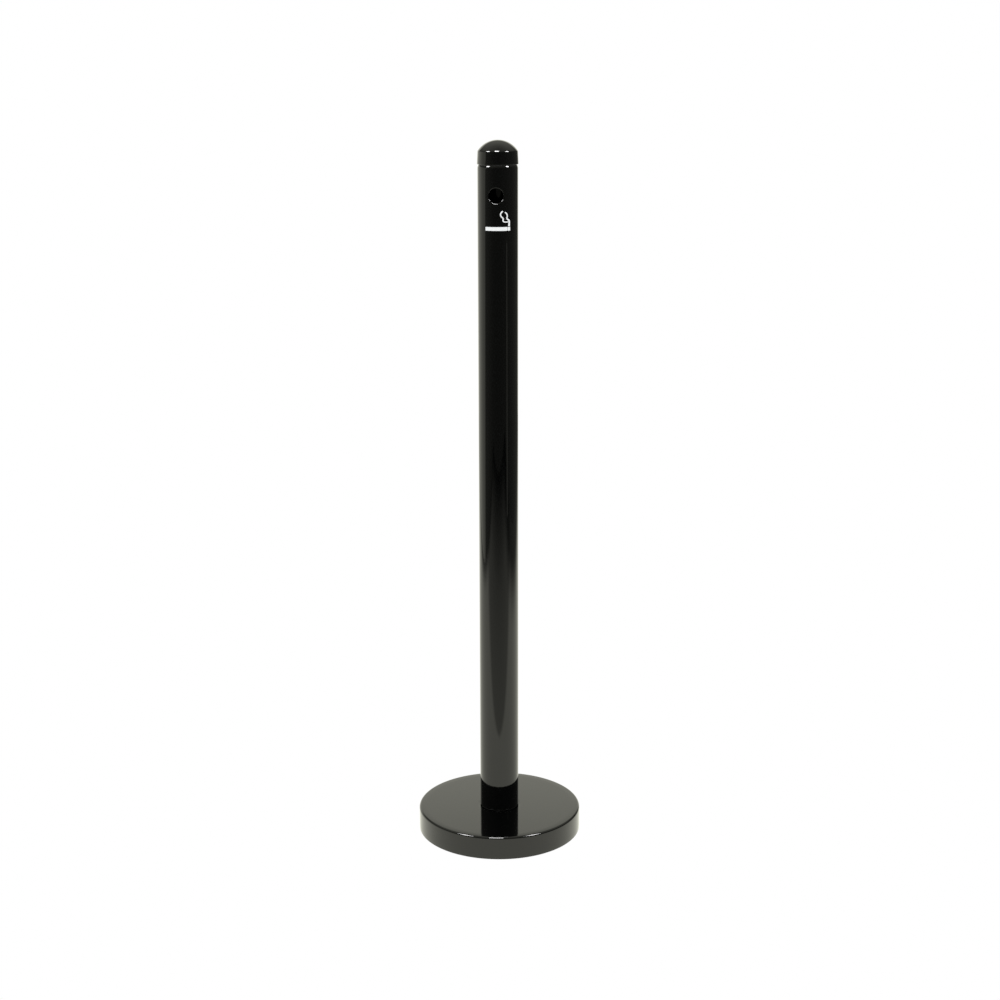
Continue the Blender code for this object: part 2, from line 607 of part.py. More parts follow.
def main():
    clear_scene()
    make_floor_ring()
    make_base_plate()
    make_base_weight()
    make_base_cover()
    make_base_screws()
    make_spigot_flange()
    make_spigot_tube()
    make_canister_pad()

    turn_joint = add_joint_empty("pole_turn_axis", (0.0, 0.0, 0.0))
    make_turn_ring(turn_joint)
    lift_joint = add_joint_empty("pole_lift_axis", parent=turn_joint)
    make_pole_tube(lift_joint)
    make_foot_ring(lift_joint)
    make_pictogram(lift_joint)
    cap_joint = add_joint_empty("cap_lift_axis", parent=lift_joint)
    make_cap(cap_joint)
    make_cap_plug(cap_joint)

    canister_joint = add_joint_empty("canister_lift_axis")
    make_canister(canister_joint)
    bail_joint = add_joint_empty("bail_swing_axis", (0.0, 0.0, BAIL_Z), canister_joint)
    make_bail(bail_joint)


main()
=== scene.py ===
"""Looks of the free-standing smokers' pole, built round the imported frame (metres, +Z up)."""
import json
from math import asin, cos, degrees, hypot, pi, radians, sin, sqrt

import bmesh
import bpy
from mathutils import Matrix, Vector
from mathutils.geometry import interpolate_bezier


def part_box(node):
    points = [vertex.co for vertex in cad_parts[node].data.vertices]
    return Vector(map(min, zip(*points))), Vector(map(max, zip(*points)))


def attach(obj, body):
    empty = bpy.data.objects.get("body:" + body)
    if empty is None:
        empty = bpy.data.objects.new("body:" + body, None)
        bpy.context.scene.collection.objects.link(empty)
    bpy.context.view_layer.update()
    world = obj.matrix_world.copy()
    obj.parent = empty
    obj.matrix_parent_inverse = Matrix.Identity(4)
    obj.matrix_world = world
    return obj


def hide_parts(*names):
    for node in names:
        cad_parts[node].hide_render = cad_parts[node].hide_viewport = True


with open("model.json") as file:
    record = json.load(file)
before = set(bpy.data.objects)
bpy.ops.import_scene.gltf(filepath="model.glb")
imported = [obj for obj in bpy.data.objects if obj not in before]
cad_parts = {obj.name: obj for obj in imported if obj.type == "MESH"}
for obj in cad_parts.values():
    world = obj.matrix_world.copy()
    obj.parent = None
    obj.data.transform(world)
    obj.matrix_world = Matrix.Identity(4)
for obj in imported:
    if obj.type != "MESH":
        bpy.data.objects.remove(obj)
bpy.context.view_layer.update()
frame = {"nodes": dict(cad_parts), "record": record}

MM = 0.001
GAP = 0.3 * MM        # clearance between pieces that touch

# Steps round a turned piece
FINE = 192
EXTRA_FINE = 256

# Sizes read from the frame
cover_low, cover_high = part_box("base_cover")
tube_low, tube_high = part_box("pole_tube")
cap_low, cap_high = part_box("cap_shell")
foot_low, foot_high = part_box("pole_foot_ring")
cigarette_low, cigarette_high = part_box("pictogram_cigarette")
ember_low, ember_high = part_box("pictogram_ember")
openings = {o["name"]: o["box_m"] for o in frame["record"]["physics"]["openings"]}
BASE_RADIUS = cover_high.x
BASE_TOP = cover_high.z
POLE_RADIUS = tube_high.x
POLE_WALL = 1.5 * MM
INLET_Z = (openings["inlet"][0][2] + openings["inlet"][1][2]) / 2
INLET_RADIUS = 11 * MM
INLET_ROUNDING = 1.6 * MM

# Camera: how far it stands from the pole's axis, how high, and where it looks
CAMERA_DISTANCE = 2.6145
CAMERA_HEIGHT = 1.1926
CAMERA_AZIMUTH = radians(5.7)
CAMERA_PITCH = radians(12.9925)
CAMERA_ROLL = radians(-0.152)
CAMERA_LENS = 63.44
CAMERA_SHIFT = (0.00145, -0.035)

# Studio: brightness of the world, of the floor's reflection and how far that reaches, where the lights
# aim, and the tint of what the gloss sees
STUDIO_DARK = 0.072
STUDIO_SOFT = 1.26
PAPER_LEVEL = 1.27
PAPER_REACH = 2.5
LIGHT_TARGET_Z = 1.04
REFLECTED_TINT = (1.0, 1.0, 0.87)
WHITE = (1.0, 1.0, 1.0)


# ---------------------------------------------------------------- mesh helpers

def arc(center, radius, start, end, steps):
    """Points (r, z) on an arc, angles in degrees."""
    points = []
    for i in range(steps + 1):
        angle = radians(start + (end - start) * i / steps)
        points.append((center[0] + radius * cos(angle), center[1] + radius * sin(angle)))
    return points


def make_piece(name, bm, body, material, replaced=(), sharp=40):
    """Turns a bmesh into a smooth shaded piece that rides on a body."""
    bmesh.ops.recalc_face_normals(bm, faces=bm.faces)
    mesh = bpy.data.meshes.new(name)
    bm.to_mesh(mesh)
    bm.free()
    mesh.shade_smooth()
    mesh.set_sharp_from_angle(angle=radians(sharp))
    piece = bpy.data.objects.new(name, mesh)
    bpy.context.scene.collection.objects.link(piece)
    mesh.materials.append(material)
    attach(piece, body)
    if replaced:
        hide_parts(*replaced)
    return piece


def bridge(bm, first, second):
    """Faces between two rings with the same number of vertices."""
    count = len(first)
    for k in range(count):
        n = (k + 1) % count
        bm.faces.new((first[k], first[n], second[n], second[k]))


def close_ends(bm, rings):
    """Faces between the rings of a bar, and one face on each end."""
    for first, second in zip(rings, rings[1:]):
        bridge(bm, first, second)
    bm.faces.new(rings[0])
    bm.faces.new(rings[-1])


def lathe(profile, segments=FINE):
    """Closed body turned about Z from a closed (r, z) profile; a point with r = 0 is on the axis."""
    bm = bmesh.new()
    rings = []
    for r, z in profile:
        if r == 0.0:
            rings.append([bm.verts.new((0.0, 0.0, z))])
            continue
        ring = []
        for k in range(segments):
            angle = 2 * pi * k / segments
            ring.append(bm.verts.new((r * cos(angle), r * sin(angle), z)))
        rings.append(ring)
    for a, b in zip(rings, rings[1:] + rings[:1]):
        if len(a) == 1 and len(b) == 1:
            continue
        if len(a) == len(b):
            bridge(bm, a, b)
            continue
        for k in range(segments):
            n = (k + 1) % segments
            bm.faces.new((a[0], b[n], b[k]) if len(a) == 1 else (a[k], a[n], b[0]))
    return bm


def tube_along(points, radius, sides=16):
    """Closed round bar along a list of points in one plane that contains the X axis."""
    bm = bmesh.new()
    rings = []
    for i, point in enumerate(points):
        ahead = points[min(i + 1, len(points) - 1)]
        behind = points[max(i - 1, 0)]
        direction = (ahead - behind).normalized()
        side = Vector((0.0, 1.0, 0.0))
        up = direction.cross(side)
        ring = []
        for k in range(sides):
            angle = 2 * pi * k / sides
            ring.append(bm.verts.new(point + (side * cos(angle) + up * sin(angle)) * radius))
        rings.append(ring)
    close_ends(bm, rings)
    return bm


def combine(piece, bm, operation):
    """Joins a solid to a piece (UNION), or cuts it away (DIFFERENCE)."""
    mesh = bpy.data.meshes.new("other_solid")
    bm.to_mesh(mesh)
    bm.free()
    other = bpy.data.objects.new("other_solid", mesh)
    bpy.context.scene.collection.objects.link(other)
    modifier = piece.modifiers.new("combine", "BOOLEAN")
    modifier.operation = operation
    modifier.object = other
    evaluated = piece.evaluated_get(bpy.context.evaluated_depsgraph_get())
    piece.data = bpy.data.meshes.new_from_object(evaluated)
    piece.modifiers.clear()
    bpy.data.objects.remove(other)


def rod(radius, length, place):
    """Round rod along Z, moved by a matrix."""
    bm = bmesh.new()
    bmesh.ops.create_cone(bm, cap_ends=True, segments=32, radius1=radius, radius2=radius,
                          depth=length, matrix=place)
    return bm


# ---------------------------------------------------------------- materials

def feed(tree, socket, value):
    """Links a socket to another one, or gives it a fixed value."""
    if isinstance(value, bpy.types.NodeSocket):
        tree.links.new(value, socket)
    else:
        socket.default_value = (*value, 1.0) if isinstance(value, tuple) else value


def math_node(tree, operation, *values):
    node = tree.nodes.new("ShaderNodeMath")
    node.operation = operation
    for socket, value in zip(node.inputs, values):
        feed(tree, socket, value)
    return node.outputs["Value"]


def mix_colors(tree, factor, first, second):
    node = tree.nodes.new("ShaderNodeMix")
    node.data_type = "RGBA"
    factor_socket, first_socket, second_socket = node.inputs[0], node.inputs[6], node.inputs[7]
    feed(tree, factor_socket, factor)
    feed(tree, first_socket, first)
    feed(tree, second_socket, second)
    return node.outputs[2]


def smooth_step(tree, value, low, high, to_low, to_high):
    """Node that eases from to_low to to_high while value goes from low to high."""
    node = tree.nodes.new("ShaderNodeMapRange")
    node.interpolation_type = "SMOOTHSTEP"
    tree.links.new(value, node.inputs["Value"])
    for name, number in (("From Min", low), ("From Max", high), ("To Min", to_low), ("To Max", to_high)):
        node.inputs[name].default_value = number
    return node.outputs["Result"]


class Nodes:
    """Small builder for one material's node tree."""

    def __init__(self, name):
        self.material = bpy.data.materials.new(name)
        self.material.use_nodes = True
        self.tree = self.material.node_tree
        self.shader = self.tree.nodes["Principled BSDF"]
        coordinates = self.tree.nodes.new("ShaderNodeTexCoord")
        self.place = coordinates.outputs["Object"]

    def link(self, output, socket):
        self.tree.links.new(output, socket)

    def stretched(self, scale):
        mapping = self.tree.nodes.new("ShaderNodeMapping")
        mapping.inputs["Scale"].default_value = scale
        self.link(self.place, mapping.inputs["Vector"])
        return mapping.outputs["Vector"]

    def noise(self, scale, detail=3.0, roughness=0.5, vector=None):
        node = self.tree.nodes.new("ShaderNodeTexNoise")
        node.inputs["Scale"].default_value = scale
        node.inputs["Detail"].default_value = detail
        node.inputs["Roughness"].default_value = roughness
        self.link(vector or self.place, node.inputs["Vector"])
        return node.outputs["Fac"]

    def cells(self, scale):
        node = self.tree.nodes.new("ShaderNodeTexVoronoi")
        node.inputs["Scale"].default_value = scale
        self.link(self.place, node.inputs["Vector"])
        return node.outputs["Color"]

    def ramp(self, value, stops):
        """stops: (position, colour or grey) pairs."""
        node = self.tree.nodes.new("ShaderNodeValToRGB")
        ramp = node.color_ramp
        while len(ramp.elements) < len(stops):
            ramp.elements.new(0.5)
        for element, (position, tone) in zip(ramp.elements, stops):
            element.position = position
            color = tone if isinstance(tone, tuple) else (tone, tone, tone)
            element.color = (*color, 1.0)
        self.link(value, node.inputs["Fac"])
        return node.outputs["Color"]

    def mix(self, factor, first, second):
        """Blends two colours; each is a socket or an RGB tuple."""
        return mix_colors(self.tree, factor, first, second)

    def math(self, operation, *values):
        return math_node(self.tree, operation, *values)

    def bump(self, height, strength, distance, normal=None):
        node = self.tree.nodes.new("ShaderNodeBump")
        node.inputs["Strength"].default_value = strength
        node.inputs["Distance"].default_value = distance
        self.link(height, node.inputs["Height"])
        if normal is not None:
            self.link(normal, node.inputs["Normal"])
        return node.outputs["Normal"]

    def set(self, color, roughness, normal=None, metallic=0.0, specular=0.5):
        shader = self.shader
        shader.inputs["Metallic"].default_value = metallic
        shader.inputs["IOR"].default_value = 1.5
        shader.inputs["Specular IOR Level"].default_value = specular
        self.link(color, shader.inputs["Base Color"])
        self.link(roughness, shader.inputs["Roughness"])
        if normal is not None:
            self.link(normal, shader.inputs["Normal"])
        return self.material


def black_powder_coat():
    """Gloss black coat: faint orange peel, a little settled dust, hairline scratches."""
    n = Nodes("black_powder_coat")
    dust = n.ramp(n.noise(700.0, 2.0, 0.6), [(0.0, 0.0), (0.66, 0.0), (0.80, 1.0)])
    patches = n.ramp(n.noise(14.0, 4.0, 0.6), [(0.35, 0.0), (0.75, 1.0)])
    dust_amount = n.math("MULTIPLY", n.math("MULTIPLY", dust, patches), 0.10)
    color = n.mix(dust_amount, (0.0009, 0.0010, 0.0010), (0.016, 0.016, 0.014))
    scratch = n.ramp(n.noise(60.0, 2.0, 0.5, n.stretched((9.0, 9.0, 0.35))),
                     [(0.0, 0.0), (0.70, 0.0), (0.72, 1.0), (0.74, 0.0)])
    smudge = n.ramp(n.noise(22.0, 5.0, 0.62), [(0.30, 0.030), (0.62, 0.045), (0.85, 0.080)])
    rough = n.math("ADD", smudge, n.math("MULTIPLY", scratch, 0.06))
    rough = n.math("ADD", rough, n.math("MULTIPLY", dust_amount, 0.5))
    peel = n.bump(n.noise(260.0, 1.5, 0.4), 0.10, 0.00012)
    fine = n.bump(n.noise(1500.0, 1.0, 0.4), 0.05, 0.00003, peel)
    return n.set(color, rough, fine)


def zinc_plate():
    """Dull zinc with the fine rings of turning."""
    n = Nodes("zinc_plate")
    cloud = n.noise(45.0, 5.0, 0.6)
    color = n.ramp(cloud, [(0.3, (0.46, 0.47, 0.48)), (0.7, (0.60, 0.61, 0.61))])
    rough = n.ramp(n.noise(80.0, 4.0), [(0.3, 0.26), (0.75, 0.44)])
    turned = n.bump(n.noise(40.0, 2.0, 0.5, n.stretched((0.4, 0.4, 60.0))), 0.2, 0.00004)
    return n.set(color, rough, turned, metallic=1.0)


def galvanised():
    """Sheet steel with the crystal pattern of hot-dip zinc."""
    n = Nodes("galvanised_steel")
    crystal = n.cells(130.0)
    gray = n.ramp(crystal, [(0.1, (0.44, 0.46, 0.48)), (0.9, (0.63, 0.64, 0.65))])
    stain = n.ramp(n.noise(18.0, 5.0, 0.65), [(0.45, 0.0), (0.8, 1.0)])
    color = n.mix(n.math("MULTIPLY", stain, 0.35), gray, (0.27, 0.25, 0.22))
    rough = n.ramp(crystal, [(0.1, 0.30), (0.9, 0.48)])
    return n.set(color, rough, n.bump(crystal, 0.12, 0.00006), metallic=1.0)


def cast_iron():
    """Rough dark casting."""
    n = Nodes("primed_cast_iron")
    color = n.ramp(n.noise(70.0, 5.0), [(0.3, (0.035, 0.034, 0.033)), (0.8, (0.075, 0.070, 0.066))])
    rough = n.ramp(n.noise(50.0, 4.0), [(0.3, 0.62), (0.8, 0.85)])
    return n.set(color, rough, n.bump(n.noise(420.0, 4.0), 0.6, 0.0004))


def bright_screw_steel():
    """Bright zinc on small screws and the nut."""
    n = Nodes("bright_screw_steel")
    color = n.ramp(n.noise(300.0, 3.0), [(0.3, (0.56, 0.57, 0.58)), (0.7, (0.68, 0.68, 0.66))])
    rough = n.ramp(n.noise(420.0, 3.0), [(0.3, 0.20), (0.8, 0.36)])
    return n.set(color, rough, n.bump(n.noise(900.0, 2.0), 0.15, 0.00005), metallic=1.0)


def spring_steel():
    """Dark steel with a film of oil."""
    n = Nodes("oiled_spring_steel")
    color = n.ramp(n.noise(240.0, 3.0), [(0.3, (0.16, 0.16, 0.17)), (0.8, (0.27, 0.26, 0.25))])
    rough = n.ramp(n.noise(300.0, 3.0), [(0.3, 0.25), (0.8, 0.42)])
    return n.set(color, rough, n.bump(n.noise(900.0, 2.0), 0.15, 0.00005), metallic=1.0)


def drawn_wire():
    """Pale, smooth steel wire."""
    n = Nodes("drawn_steel_wire")
    color = n.ramp(n.noise(160.0, 3.0), [(0.3, (0.52, 0.53, 0.54)), (0.75, (0.66, 0.66, 0.66))])
    rough = n.ramp(n.noise(500.0, 3.0), [(0.3, 0.22), (0.8, 0.38)])
    return n.set(color, rough, n.bump(n.noise(1200.0, 2.0), 0.12, 0.00004), metallic=1.0)


def black_rubber():
    """Matt rubber, nearly black."""
    n = Nodes("black_rubber")
    color = n.ramp(n.noise(90.0, 4.0), [(0.3, (0.003, 0.003, 0.003)), (0.8, (0.007, 0.0068, 0.0065))])
    rough = n.ramp(n.noise(140.0, 3.0), [(0.3, 0.62), (0.8, 0.82)])
    return n.set(color, rough, n.bump(n.noise(1100.0, 3.0), 0.3, 0.00008), specular=0.2)


def black_nylon():
    """Satin moulded nylon."""
    n = Nodes("black_nylon")
    color = n.ramp(n.noise(120.0, 3.0), [(0.3, (0.017, 0.017, 0.018)), (0.8, (0.028, 0.028, 0.028))])
    rough = n.ramp(n.noise(90.0, 4.0), [(0.3, 0.36), (0.8, 0.52)])
    return n.set(color, rough, n.bump(n.noise(800.0, 3.0), 0.25, 0.00006))


def natural_nylon():
    """Off-white nylon with the fine lines of turning."""
    n = Nodes("natural_nylon")
    color = n.ramp(n.noise(40.0, 4.0), [(0.3, (0.66, 0.65, 0.60)), (0.8, (0.74, 0.73, 0.69))])
    rough = n.ramp(n.noise(120.0, 3.0), [(0.3, 0.38), (0.8, 0.55)])
    lines = n.noise(60.0, 1.0, 0.5, n.stretched((0.3, 0.3, 70.0)))
    material = n.set(color, rough, n.bump(lines, 0.35, 0.00006))
    n.shader.inputs["Subsurface Weight"].default_value = 0.15
    n.shader.inputs["Subsurface Radius"].default_value = (0.002, 0.002, 0.0015)
    n.shader.inputs["Subsurface Scale"].default_value = 1.0
    return material


def white_film():
    """White printed vinyl."""
    n = Nodes("white_film")
    color = n.ramp(n.noise(220.0, 4.0), [(0.3, (0.74, 0.76, 0.76)), (0.75, (0.80, 0.82, 0.82))])
    rough = n.ramp(n.noise(160.0, 3.0), [(0.3, 0.30), (0.8, 0.45)])
    return n.set(color, rough, n.bump(n.noise(1400.0, 2.0), 0.12, 0.00002))


# ---------------------------------------------------------------- pole tube with its inlet

PATCH_COLUMNS = 32
PATCH_ROWS = 28
PATCH_HALF_HEIGHT = 16 * MM
COLUMN_ANGLE = 2 * pi / FINE


def on_tube(angle, z, radius):
    """Point on a tube; angle 0 is the front (-Y), growing towards +X."""
    return Vector((radius * sin(angle), -radius * cos(angle), z))


def patch_border():
    """(column, row) steps round the square of tube wall that holds the inlet, one per spoke."""
    half = PATCH_COLUMNS // 2
    border = []
    for c in range(-half, half):
        border.append((c, 0))
    for r in range(PATCH_ROWS):
        border.append((half, r))
    for c in range(half, -half, -1):
        border.append((c, PATCH_ROWS))
    for r in range(PATCH_ROWS, 0, -1):
        border.append((-half, r))
    return border


def inlet_ring(bm, spokes, radius, edge, share=1.0, sunk=0.0):
    """Ring of vertices on a tube surface, a share of the way along the spokes to the inlet's edge."""
    ring = []
    for x, z in spokes:
        length = hypot(x, z)
        scale = (length + (edge - length) * share) / length
        y = sunk - sqrt(radius ** 2 - (x * scale) ** 2)
        ring.append(bm.verts.new((x * scale, y, INLET_Z + z * scale)))
    return ring


def inlet_rings(bm, spokes, radius, rounding, steps):
    """Rings from the square's border to the inlet's edge on one tube surface."""
    edge = INLET_RADIUS + rounding
    crowding = 0.8
    return [inlet_ring(bm, spokes, radius, edge, (i / steps) ** crowding) for i in range(1, steps + 1)]


def rolled_edge(bm, spokes, radius, rounding, steps):
    """Quarter-round rings that turn from the outer surface into the inlet's wall."""
    rings = []
    for i in range(1, steps + 1):
        angle = pi / 2 * i / steps
        edge = INLET_RADIUS + rounding * (1 - sin(angle))
        rings.append(inlet_ring(bm, spokes, radius, edge, sunk=rounding * (1 - cos(angle))))
    return rings


def even_steps(start, end, count):
    """Evenly spaced numbers from start up to, and without, end."""
    return [start + (end - start) * i / count for i in range(count)]


def tube_rows(low_edge, high_edge):
    """Heights of a tube surface's rings, with even rows across the inlet's square."""
    start, end = INLET_Z - PATCH_HALF_HEIGHT, INLET_Z + PATCH_HALF_HEIGHT
    below = even_steps(low_edge, start, 24)
    across = even_steps(start, end, PATCH_ROWS)
    above = [*even_steps(end, high_edge, 4), high_edge]
    return below + across + above, len(below)


def tube_surface(bm, radius, low_edge, high_edge):
    """Grid of one tube surface with the inlet's square left out.

    Returns its lowest and highest rings, the square's border and a spoke (x, z) to each border vertex.
    """
    heights, first_row = tube_rows(low_edge, high_edge)
    grid = []
    for z in heights:
        grid.append([bm.verts.new(on_tube(k * COLUMN_ANGLE, z, radius)) for k in range(FINE)])
    half = PATCH_COLUMNS // 2
    for j in range(len(heights) - 1):
        in_rows = first_row <= j < first_row + PATCH_ROWS
        for k in range(FINE):
            column = k if k < FINE // 2 else k - FINE
            if in_rows and -half <= column < half:
                continue
            n = (k + 1) % FINE
            bm.faces.new((grid[j][k], grid[j][n], grid[j + 1][n], grid[j + 1][k]))
    border = [grid[first_row + r][c % FINE] for c, r in patch_border()]
    for j in range(first_row + 1, first_row + PATCH_ROWS):
        for c in range(-half + 1, half):
            bm.verts.remove(grid[j][c % FINE])
    spokes = [(vert.co.x, vert.co.z - INLET_Z) for vert in border]
    return grid[0], grid[-1], border, spokes


def make_pole_tube(coat):
    """Tube with a softened foot, a rounded shoulder under the cap and a rolled inlet edge."""
    bm = bmesh.new()
    inner = POLE_RADIUS - POLE_WALL
    shoulder, shoulder_end = 10.5 * MM, 27.5
    shoulder_height = shoulder * sin(radians(shoulder_end))
    foot_rounding = 0.5 * MM
    inner_chamfer, inner_rounding = 0.2 * MM, 0.1 * MM
    bottom, top = tube_low.z, tube_high.z

    outer_low, outer_high, outer_border, outer_spokes = tube_surface(
        bm, POLE_RADIUS, bottom + foot_rounding, top - shoulder_height)
    inner_low, inner_high, inner_border, inner_spokes = tube_surface(
        bm, inner, bottom + inner_chamfer, top - inner_chamfer)

    outer_rings = inlet_rings(bm, outer_spokes, POLE_RADIUS, INLET_ROUNDING, 8)
    edge_rings = rolled_edge(bm, outer_spokes, POLE_RADIUS, INLET_ROUNDING, 8)
    inner_rings = inlet_rings(bm, inner_spokes, inner, inner_rounding, 6)
    inlet_chain = [outer_border, *outer_rings, *edge_rings, *reversed(inner_rings), inner_border]

    def ring(r, z):
        return [bm.verts.new(on_tube(k * COLUMN_ANGLE, z, r)) for k in range(FINE)]

    bend = arc((POLE_RADIUS - shoulder, top - shoulder_height), shoulder, 0, shoulder_end, 10)
    top_chain = [outer_high, *[ring(r, z) for r, z in bend[1:]], inner_high]
    foot = arc((POLE_RADIUS - foot_rounding, bottom + foot_rounding), foot_rounding, 0, -90, 5)
    foot_chain = [outer_low, *[ring(r, z) for r, z in foot[1:]], inner_low]
    for chain in (inlet_chain, top_chain, foot_chain):
        for first, second in zip(chain, chain[1:]):
            bridge(bm, first, second)
    make_piece("tube_shell", bm, "pole", coat, ["pole_tube"])


# ---------------------------------------------------------------- other visible pieces

def make_base_cover(coat):
    """Flat-topped shell with a small rounded edge, a straight side and a turned-in hem."""
    edge = 3.2 * MM
    wall = 2.0 * MM
    hem = 0.3 * MM
    lip_rounding, hole_clearance = 0.5 * MM, 1.2 * MM
    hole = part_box("spigot_tube")[1].x + hole_clearance
    bottom = cover_low.z
    outer = arc((BASE_RADIUS - edge, BASE_TOP - edge), edge, 90, 0, 14)
    hem_out = arc((BASE_RADIUS - hem, bottom + hem), hem, 0, -90, 5)
    hem_in = arc((BASE_RADIUS - wall + hem, bottom + hem), hem, -90, -180, 5)
    inner = arc((BASE_RADIUS - edge, BASE_TOP - edge), edge - wall, 0, 90, 6)
    lip = arc((hole + lip_rounding, BASE_TOP - lip_rounding), lip_rounding, 180, 90, 4)
    flat = [(hole + (BASE_RADIUS - edge - hole) * share, BASE_TOP) for share in (0.1, 0.3, 0.5, 0.7, 0.9)]
    side = [(BASE_RADIUS, z) for z in even_steps(BASE_TOP - edge, bottom + hem, 4)[1:]]
    profile = [*lip, *flat, *outer, *side, *hem_out, *hem_in, *inner, (hole, BASE_TOP - wall)]
    make_piece("base_cover_shell", lathe(profile, EXTRA_FINE), "base", coat, ["base_cover"])


def make_cap(coat):
    """Shallow dome, tight knuckle, skirt that widens a little to a rolled lip."""
    top_z, lip_z, lip_r = cap_high.z, cap_low.z, cap_high.x
    knuckle, rise, wall = 3.5 * MM, 15.9 * MM, 1.5 * MM
    lip, lip_inner, lip_land = 0.7 * MM, 0.3 * MM, 0.4 * MM
    plug_clearance, inside_drop = 0.5 * MM, 1.0 * MM
    skirt_top = lip_r - 0.8 * MM
    dome_edge = skirt_top - 0.2 * MM
    sphere = (dome_edge ** 2 + rise ** 2) / (2 * rise)
    center_z = top_z - sphere
    tilt = asin((skirt_top - knuckle) / (sphere - knuckle))

    def bowl(radius, angle):
        return radius * sin(angle), center_z + radius * cos(angle)

    dome_steps, inside_steps = 32, 12
    dome = [bowl(sphere, tilt * i / dome_steps) for i in range(1, dome_steps + 1)]
    knuckle_center = bowl(sphere - knuckle, tilt)
    bend = arc(knuckle_center, knuckle, 90 - degrees(tilt), 0, 10)[1:]
    skirt_high, skirt_low = bend[-1][1], lip_z + lip + lip_land
    skirt = [(skirt_top + (lip_r - skirt_top) * share, skirt_high + (skirt_low - skirt_high) * share)
             for share in (0.25, 0.5, 0.75, 1.0)]
    lip_out = arc((lip_r - lip, lip_z + lip), lip, 0, -90, 7)
    inner_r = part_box("cap_plug")[1].x + plug_clearance
    lip_in = arc((inner_r + lip_inner, lip_z + lip_inner), lip_inner, -90, -180, 4)
    clear_of_edge = 0.97
    inside_angle = asin(inner_r / (sphere - wall)) * clear_of_edge
    inside = [bowl(sphere - wall, inside_angle * i / inside_steps) for i in range(inside_steps, 0, -1)]
    profile = [(0.0, top_z), *dome, *bend, *skirt, *lip_out, *lip_in,
               (inner_r, knuckle_center[1] - inside_drop), *inside, (0.0, top_z - wall)]
    make_piece("cap_dome", lathe(profile), "cap", coat, ["cap_shell"])


def make_foot_ring(rubber):
    """Thin edging under the tube, rounded where it shows."""
    half = (foot_high.z - foot_low.z) / 2
    inset = 0.6 * MM
    inner = POLE_RADIUS - POLE_WALL
    outer = arc((POLE_RADIUS - inset - half, foot_low.z + half), half, -90, 90, 10)
    profile = [(inner, foot_low.z), *outer, (inner, foot_high.z)]
    make_piece("foot_edging", lathe(profile), "pole", rubber, ["pole_foot_ring"])


# ---------------------------------------------------------------- pictogram

FILM = 0.12 * MM
FILM_LIFT = 0.02 * MM
PLATE_FACE = POLE_RADIUS + 0.7 * MM    # outer face of the CAD's plates


def film_plate(pairs):
    """Thin curved plate on the tube over pairs of (along, z) edge points."""
    low = POLE_RADIUS + FILM_LIFT
    high = low + FILM
    bm = bmesh.new()
    rows = []
    for (a1, z1), (a2, z2) in pairs:
        rows.append([bm.verts.new(on_tube(a1 / POLE_RADIUS, z1, low)),
                     bm.verts.new(on_tube(a2 / POLE_RADIUS, z2, low)),
                     bm.verts.new(on_tube(a2 / POLE_RADIUS, z2, high)),
                     bm.verts.new(on_tube(a1 / POLE_RADIUS, z1, high))])
    close_ends(bm, rows)
    return bm


def bar_pairs(low, high, steps, corner, trims):
    """Edge points of a level bar with small rounded corners, from a CAD plate's box."""
    left_trim, right_trim, top_trim, bottom_trim = trims
    start = asin(low.x / PLATE_FACE) * POLE_RADIUS + left_trim
    end = asin(high.x / PLATE_FACE) * POLE_RADIUS - right_trim
    low_z, high_z = low.z + bottom_trim, high.z - top_trim
    pairs = []
    corner_steps = 5
    for i in range(corner_steps):
        angle = pi / 2 * i / corner_steps
        cut = corner * (1 - sin(angle))
        along = start + corner * (1 - cos(angle))
        pairs.append(((along, low_z + cut), (along, high_z - cut)))
    for i in range(steps + 1):
        along = start + corner + (end - start - 2 * corner) * i / steps
        pairs.append(((along, low_z), (along, high_z)))
    for (a1, z1), (a2, z2) in reversed(pairs[:corner_steps]):
        pairs.append(((start + end - a1, z1), (start + end - a2, z2)))
    return pairs


def ribbon_pairs(bends, widths, steps):
    """Edges of a ribbon along Bezier pieces (start, handle, handle, end), one width per knot."""
    middle = []
    for piece in bends:
        points = interpolate_bezier(*[Vector((*point, 0.0)) for point in piece], steps)
        middle += points if not middle else points[1:]
    pairs = []
    for i, point in enumerate(middle):
        direction = (middle[min(i + 1, len(middle) - 1)] - middle[max(i - 1, 0)]).normalized()
        knot, share = divmod(i / (steps - 1), 1.0)
        before = widths[int(knot)]
        after = widths[min(int(knot) + 1, len(widths) - 1)]
        side = Vector((-direction.y, direction.x, 0.0)) * (before + (after - before) * share) / 2
        pairs.append(((point + side).xy, (point - side).xy))
    return pairs


def smoke_curls():
    """The two curls of smoke, in millimetres along the tube and above the cigarette's middle."""
    right = [((13.4, 23.7), (16.9, 22.4), (18.0, 18.6), (16.4, 15.4)),
             ((16.4, 15.4), (16.0, 13.4), (21.0, 13.4), (20.6, 9.5)),
             ((20.6, 9.5), (20.4, 7.6), (20.2, 5.6), (20.1, 3.5))]
    left = [((10.5, 25.2), (6.2, 23.4), (5.2, 18.9), (10.2, 15.6)),
            ((10.2, 15.6), (11.2, 14.4), (10.6, 13.5), (10.5, 12.3)),
            ((10.5, 12.3), (10.6, 9.4), (13.6, 9.4), (20.0, 9.9))]
    middle_z = (cigarette_low.z + cigarette_high.z) / 2
    return [[[(x * MM, middle_z + z * MM) for x, z in piece] for piece in curl] for curl in (right, left)]


